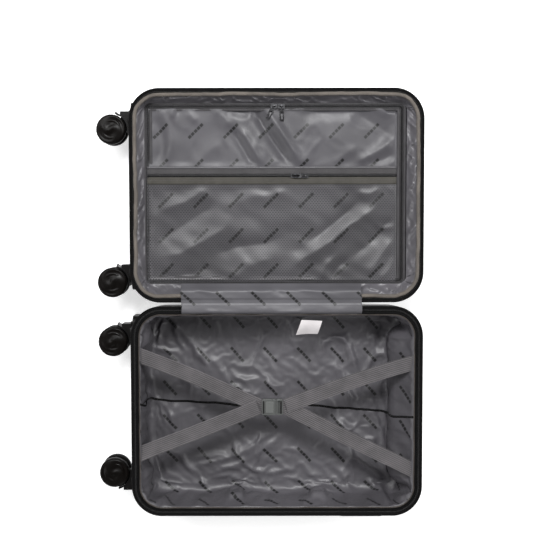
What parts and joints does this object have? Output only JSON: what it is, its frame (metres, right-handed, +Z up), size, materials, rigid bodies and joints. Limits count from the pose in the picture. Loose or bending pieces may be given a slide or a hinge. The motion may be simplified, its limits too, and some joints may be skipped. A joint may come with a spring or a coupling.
{
  "type": "hard shell suitcase on wheels",
  "caption": "Cabin-size hard shell spinner suitcase lying open flat: ribbed halves on a cloth hinge, zipped divider, cross straps, telescopic handle, twin-wheel casters.",
  "frame": {"origin": "centre of the open case's footprint, on the floor under the shell ribs", "axes": "+Z up; +Y from the base half (trolley and straps) to the lid half (zipped divider); +X from the wheel end to the handle end"},
  "size_m": [0.548, 0.7124, 0.1162],
  "materials": {
    "shell_black": "satin black moulded shell with fine grain",
    "zip_black": "woven black zip tape with a nylon coil",
    "lining_grey": "thin satin grey lining cloth, softly wrinkled",
    "divider_grey": "thin satin grey cloth",
    "mesh_grey": "fine grey net over cloth",
    "divider_zip_black": "charcoal zip tape",
    "pocket_zip_beige": "grey-beige zip tape",
    "binding_beige": "woven grey-beige edge binding",
    "webbing_grey": "ribbed grey webbing",
    "buckle_grey": "satin grey moulding",
    "label_white": "smooth white woven label",
    "tube_aluminium": "satin anodised",
    "trolley_black": "fine textured",
    "grip_black": "soft matte grip",
    "button_grey": "satin",
    "cap_black": "satin",
    "lock_black": "satin",
    "dial_black": "satin, knurled",
    "release_chrome": "polished",
    "caster_black": "satin",
    "hub_black": "polished",
    "tyre_black": "smooth polyurethane tread",
    "screw_steel": "blackened",
    "hinge_black": "woven tape",
    "slider_gunmetal": "dark plated zinc",
    "pull_gunmetal": "dark plated zinc"
  },
  "bodies": {
    "base": {"base_shell": "shell_black", "base_zip": "zip_black", "base_lining": "lining_grey", "base_lining_zip": "zip_black", "cross_straps_left": "webbing_grey", "care_label": "label_white", "buckle_socket": "buckle_grey", "trolley_outer_tubes": "tube_aluminium", "trolley_bezel": "trolley_black", "trolley_foot_brackets": "trolley_black", "side_handle_caps": "cap_black", "lock_housing": "lock_black", "base_caster_housings": "caster_black", "base_screws": "screw_steel", "hinge_tape": "hinge_black", "lining_flap": "lining_grey"},
    "lid": {"lid_shell": "shell_black", "lid_zip": "zip_black", "lid_lining": "lining_grey", "lid_binding": "binding_beige", "divider_panel": "divider_grey", "mesh_pocket": "mesh_grey", "divider_zip": "divider_zip_black", "pocket_zip": "pocket_zip_beige", "top_handle_caps": "cap_black", "lid_caster_housings": "caster_black", "lid_screws": "screw_steel"},
    "buckle_tongue": {"buckle_plug": "buckle_grey", "cross_straps_right": "webbing_grey"},
    "buckle_press": {"buckle_button": "buckle_grey"},
    "trolley_stage_one": {"trolley_middle_tubes": "tube_aluminium"},
    "trolley_stage_two": {"trolley_inner_tubes": "tube_aluminium", "trolley_grip": "grip_black"},
    "trolley_press": {"trolley_button": "button_grey"},
    "side_handle": {"side_handle": "grip_black"},
    "top_handle": {"top_handle": "grip_black"},
    "lock_dial_1": {"lock_dial_1": "dial_black"},
    "lock_dial_2": {"lock_dial_2": "dial_black"},
    "lock_dial_3": {"lock_dial_3": "dial_black"},
    "lock_release": {"lock_release": "release_chrome"},
    "main_slider_left": {"main_zip_slider_left": "slider_gunmetal"},
    "main_slider_right": {"main_zip_slider_right": "slider_gunmetal"},
    "divider_slider_left": {"divider_slider_left": "slider_gunmetal"},
    "divider_slider_right": {"divider_slider_right": "slider_gunmetal"},
    "divider_pull_left": {"divider_pull_left": "pull_gunmetal"},
    "divider_pull_right": {"divider_pull_right": "pull_gunmetal"},
    "pocket_slider": {"pocket_slider": "slider_gunmetal"},
    "pocket_pull": {"pocket_pull": "pull_gunmetal"},
    "caster_base_inner_swivel": {"caster_base_inner_fork": "caster_black"},
    "caster_base_inner_wheels": {"caster_base_inner_hubs": "hub_black", "caster_base_inner_tyres": "tyre_black"},
    "caster_base_outer_swivel": {"caster_base_outer_fork": "caster_black"},
    "caster_base_outer_wheels": {"caster_base_outer_hubs": "hub_black", "caster_base_outer_tyres": "tyre_black"},
    "caster_lid_inner_swivel": {"caster_lid_inner_fork": "caster_black"},
    "caster_lid_inner_wheels": {"caster_lid_inner_hubs": "hub_black", "caster_lid_inner_tyres": "tyre_black"},
    "caster_lid_outer_swivel": {"caster_lid_outer_fork": "caster_black"},
    "caster_lid_outer_wheels": {"caster_lid_outer_hubs": "hub_black", "caster_lid_outer_tyres": "tyre_black"}
  },
  "joints": [
    {"name": "lid_hinge", "type": "hinge", "parent": "base", "child": "lid", "pos_m": [0.02702, 0.00319, 0.115], "axis": [1, 0, 0], "range_deg": [0, 180], "deforming": ["hinge_tape", "lining_flap"]},
    {"name": "buckle_unclip", "type": "slide", "parent": "base", "child": "buckle_tongue", "axis": [1, 0, 0], "range_m": [0, 0.025], "deforming": ["cross_straps_right"]},
    {"name": "buckle_press", "type": "slide", "parent": "base", "child": "buckle_press", "axis": [0, 0, -1], "range_m": [0, 0.002], "stiffness_N_per_m": 400},
    {"name": "trolley_stage_1", "type": "slide", "parent": "base", "child": "trolley_stage_one", "axis": [1, 0, 0], "range_m": [0, 0.2]},
    {"name": "trolley_stage_2", "type": "slide", "parent": "trolley_stage_one", "child": "trolley_stage_two", "axis": [1, 0, 0], "range_m": [0, 0.2]},
    {"name": "trolley_press", "type": "slide", "parent": "trolley_stage_two", "child": "trolley_press", "axis": [-1, 0, 0], "range_m": [0, 0.003], "stiffness_N_per_m": 500},
    {"name": "side_handle_pull", "type": "slide", "parent": "base", "child": "side_handle", "axis": [0, -1, 0], "range_m": [0, 0.014], "stiffness_N_per_m": 150},
    {"name": "top_handle_pull", "type": "slide", "parent": "lid", "child": "top_handle", "axis": [1, 0, 0], "range_m": [0, 0.014], "stiffness_N_per_m": 150},
    {"name": "lock_dial_1_turn", "type": "hinge", "parent": "base", "child": "lock_dial_1", "pos_m": [0.14602, -0.35001, 0.081], "axis": [1, 0, 0], "continuous": true},
    {"name": "lock_dial_2_turn", "type": "hinge", "parent": "base", "child": "lock_dial_2", "pos_m": [0.15602, -0.35001, 0.081], "axis": [1, 0, 0], "continuous": true},
    {"name": "lock_dial_3_turn", "type": "hinge", "parent": "base", "child": "lock_dial_3", "pos_m": [0.16602, -0.35001, 0.081], "axis": [1, 0, 0], "continuous": true},
    {"name": "lock_release_slide", "type": "slide", "parent": "base", "child": "lock_release", "axis": [1, 0, 0], "range_m": [0, 0.0035], "stiffness_N_per_m": 200},
    {"name": "main_zip_left", "type": "slide", "parent": "base", "child": "main_slider_left", "axis": [-1, 0, 0], "range_m": [0, 0.044]},
    {"name": "main_zip_right", "type": "slide", "parent": "base", "child": "main_slider_right", "axis": [1, 0, 0], "range_m": [0, 0.055]},
    {"name": "divider_zip_left", "type": "slide", "parent": "lid", "child": "divider_slider_left", "axis": [-1, 0, 0], "range_m": [0, 0.196]},
    {"name": "divider_zip_right", "type": "slide", "parent": "lid", "child": "divider_slider_right", "axis": [1, 0, 0], "range_m": [0, 0.187]},
    {"name": "pocket_zip", "type": "slide", "parent": "lid", "child": "pocket_slider", "axis": [-1, 0, 0], "range_m": [-0.143, 0.241]},
    {"name": "divider_pull_left_flip", "type": "hinge", "parent": "divider_slider_left", "child": "divider_pull_left", "pos_m": [0.02302, 0.32769, 0.1027], "axis": [-1, 0, 0], "range_deg": [0, 112]},
    {"name": "divider_pull_right_flip", "type": "hinge", "parent": "divider_slider_right", "child": "divider_pull_right", "pos_m": [0.03502, 0.32769, 0.1027], "axis": [-1, 0, 0], "range_deg": [0, 112]},
    {"name": "pocket_pull_flip", "type": "hinge", "parent": "pocket_slider", "child": "pocket_pull", "pos_m": [0.07402, 0.21419, 0.1027], "axis": [0, 1, 0], "range_deg": [0, 165]},
    {"name": "caster_base_inner_swivel", "type": "hinge", "parent": "base", "child": "caster_base_inner_swivel", "pos_m": [-0.21698, -0.04681, 0.057], "axis": [1, 0, 0], "continuous": true},
    {"name": "caster_base_inner_spin", "type": "hinge", "parent": "caster_base_inner_swivel", "child": "caster_base_inner_wheels", "pos_m": [-0.24898, -0.06281, 0.057], "axis": [0, 0, 1], "continuous": true},
    {"name": "caster_base_outer_swivel", "type": "hinge", "parent": "base", "child": "caster_base_outer_swivel", "pos_m": [-0.21698, -0.30281, 0.057], "axis": [1, 0, 0], "continuous": true},
    {"name": "caster_base_outer_spin", "type": "hinge", "parent": "caster_base_outer_swivel", "child": "caster_base_outer_wheels", "pos_m": [-0.24898, -0.28681, 0.057], "axis": [0, 0, 1], "continuous": true},
    {"name": "caster_lid_inner_swivel", "type": "hinge", "parent": "lid", "child": "caster_lid_inner_swivel", "pos_m": [-0.21698, 0.05319, 0.057], "axis": [1, 0, 0], "continuous": true},
    {"name": "caster_lid_inner_spin", "type": "hinge", "parent": "caster_lid_inner_swivel", "child": "caster_lid_inner_wheels", "pos_m": [-0.24898, 0.03719, 0.057], "axis": [0, 0, 1], "continuous": true},
    {"name": "caster_lid_outer_swivel", "type": "hinge", "parent": "lid", "child": "caster_lid_outer_swivel", "pos_m": [-0.21698, 0.30919, 0.057], "axis": [1, 0, 0], "continuous": true},
    {"name": "caster_lid_outer_spin", "type": "hinge", "parent": "caster_lid_outer_swivel", "child": "caster_lid_outer_wheels", "pos_m": [-0.24898, 0.29319, 0.057], "axis": [0, 0, 1], "continuous": true}
  ]
}
